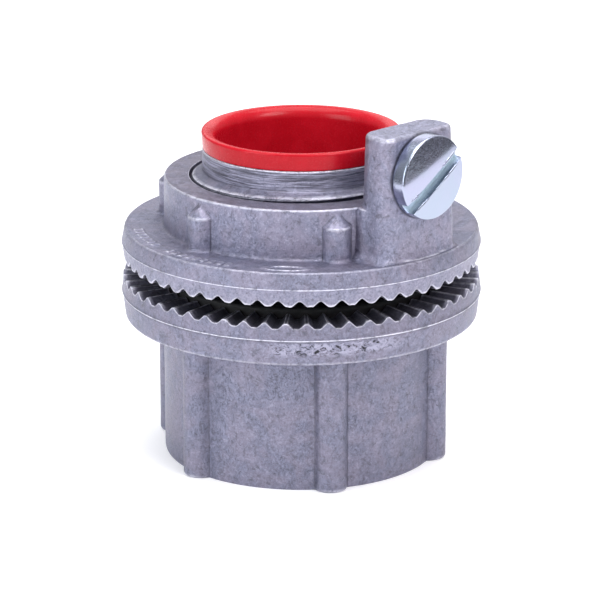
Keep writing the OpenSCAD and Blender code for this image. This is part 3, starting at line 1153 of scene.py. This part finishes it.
def zinc_plate():
    """Bright zinc plate over turned steel, with a faint blue tint, fine grain and small scratches, and
    painted reflections in the slot and on the head's upper left.
    """
    m = Material("zinc_plate", (0.385, 0.415, 0.525), 1.0, 0.2)
    tint = m.noise(0.22, 2, 0.5, 0.5)
    grain = m.noise(6.5, 4, 0.65)
    colour = m.mix(m.ramp(tint, 0.35, 0.65), (0.37, 0.42, 0.52), (0.40, 0.415, 0.55))
    colour = m.mix(m.ramp(grain, 0.60, 0.74, 0, 0.35), colour, (0.32, 0.32, 0.40))
    inside = m.attribute("slot")
    # Pale teal painted on the slot's walls and floor: a painted reflection.
    colour = m.mix(m.math("MULTIPLY", inside, 0.85), colour, (0.36, 0.43, 0.46))
    # A dark patch painted on the upper left of the head's face: a painted reflection.
    dark_reflection_patch = m.math("MULTIPLY", m.ramp(head_slope(m), -0.1 * MM, 0.9 * MM), m.attribute("face"))
    patch_grain = m.ramp(m.noise(4.0, 4, 0.7), 0.38, 0.62, 0.25, 0.9)
    colour = m.mix(m.math("MULTIPLY", dark_reflection_patch, patch_grain), colour, (0.20, 0.20, 0.25))
    rough = m.math("ADD", m.ramp(grain, 0.3, 0.7, 0.10, 0.24), m.math("MULTIPLY", inside, 0.25))
    normal = m.bump(grain, 0.016, 0.9)
    normal = m.bump(m.noise(1.1, 3), 0.03, 0.6, normal)
    return m.finish(colour, rough, facet(m, normal))


def head_slope(m):
    """How far a place lies, in metres, beyond the line where the head's face starts to fall away."""
    lean = math.radians(FACET_LEAN)
    uphill = Vector(at_lug(-math.sin(lean), 0, math.cos(lean)))
    along = m.vector("DOT_PRODUCT", m.place, uphill)
    return m.math("SUBTRACT", along.outputs["Value"], (SCREW_Z + FACET_START) * MM * uphill.z)


def facet(m, normal):
    """Tips the head's upper left a little, as if a blow had bent it, to reflect what is above the floor."""
    fall = m.node("Math")
    fall.operation = "SMOOTH_MAX"
    m.tree.links.new(head_slope(m), fall.inputs[0])
    fall.inputs[1].default_value = 0
    fall.inputs[2].default_value = 0.6 * MM
    return m.bump(m.math("MULTIPLY", fall.outputs["Value"], -FACET_SLOPE / MM), 1.0, 1.0, normal)


# ---------------- floor, light and camera


def build_stage():
    side = 3.0
    data = bpy.data.meshes.new("floor")
    corners = [(-side, -side, 0), (side, -side, 0), (side, side, 0), (-side, side, 0)]
    data.from_pydata(corners, [], [(0, 1, 2, 3)])
    floor = new_object("floor", data)
    m = Material("pale_floor", (0.9, 0.9, 0.91), 0.0, 0.6)
    clouds = m.noise(0.004, 2)
    m.shader.inputs["Emission Color"].default_value = (1, 1, 1, 1)
    m.shader.inputs["Emission Strength"].default_value = 0.2
    data.materials.append(m.finish(m.mix(clouds, (0.90, 0.90, 0.905), (0.92, 0.92, 0.925))))

    world = bpy.data.worlds.new("studio")
    world.use_nodes = True
    tree = world.node_tree
    place = tree.nodes.new("ShaderNodeTexCoord")
    parts = tree.nodes.new("ShaderNodeSeparateXYZ")
    fade = tree.nodes.new("ShaderNodeMapRange")
    fade.inputs["To Min"].default_value = 0.24
    fade.inputs["To Max"].default_value = 0.75
    tree.links.new(place.outputs["Generated"], parts.inputs["Vector"])
    tree.links.new(parts.outputs["Z"], fade.inputs["Value"])
    tree.links.new(fade.outputs["Result"], tree.nodes["Background"].inputs["Strength"])
    tree.nodes["Background"].inputs["Color"].default_value = (0.95, 0.96, 1.0, 1)
    bpy.context.scene.world = world

    softbox("top", (0.0, 0.02, 0.55), (0.5, 0.5), 2.7)
    softbox("back", (0.0, 0.55, 0.34), (0.7, 0.3), 0.8)
    softbox("left", (-0.5, -0.35, 0.28), (0.35, 0.45), 1.9, (0.92, 0.96, 1.0))
    softbox("right", (0.34, -0.34, 0.46), (0.3, 0.3), 2.2, (1.0, 0.95, 0.97))


def softbox(name, place, size, power, colour=(1, 1, 1)):
    """A large soft lamp that faces the object."""
    lamp = bpy.data.lights.new(name, "AREA")
    lamp.shape = "RECTANGLE"
    lamp.size, lamp.size_y = size
    lamp.energy = power
    lamp.color = colour
    made = new_object(name, lamp)
    made.location = place
    made.rotation_euler = (Vector((0, 0, 0.02)) - Vector(place)).to_track_quat("-Z", "Y").to_euler()


def build_camera():
    """The camera stands in front and looks down a little, through a long lens."""
    elevation = math.radians(17.65)
    distance = 0.3831
    aim = Vector((-0.00016, 0, 0.01846))
    lens = bpy.data.cameras.new("camera")
    lens.sensor_width = 36
    lens.lens = 187.3
    lens.clip_start = 0.01
    made = new_object("camera", lens)
    back = Vector((0, -math.cos(elevation), math.sin(elevation)))
    made.location = aim + back * distance
    made.rotation_euler = (-back).to_track_quat("-Z", "Y").to_euler()
    bpy.context.scene.camera = made


# ---------------- the object


def build_object():
    hub = build_hub().piece("hub_casting")
    roughen(hub.data, hub_skin)
    mark_edges(hub.data)
    mark_areas(hub.data)
    finish_piece(hub, cast_zinc("hub_zinc", HUB_TINT), "hub", "hub_body")

    throat = build_throat().piece("throat_liner")
    finish_piece(throat, red_plastic(), "hub", "insulating_throat")

    seal = build_seal().piece("seal")
    finish_piece(seal, black_rubber(), "seal", "sealing_ring")

    nut = build_locknut()
    mark_edges(nut.data)
    mark_areas(nut.data)
    finish_piece(nut, cast_zinc("locknut_zinc", NUT_TINT), "locknut", "locknut")

    screw = build_bonding_screw()
    mark_slot(screw.data)
    finish_piece(screw, zinc_plate(), "screw", "bonding_screw", 30)


build_stage()
build_camera()
build_object()

bpy.context.scene.view_settings.view_transform = "Standard"
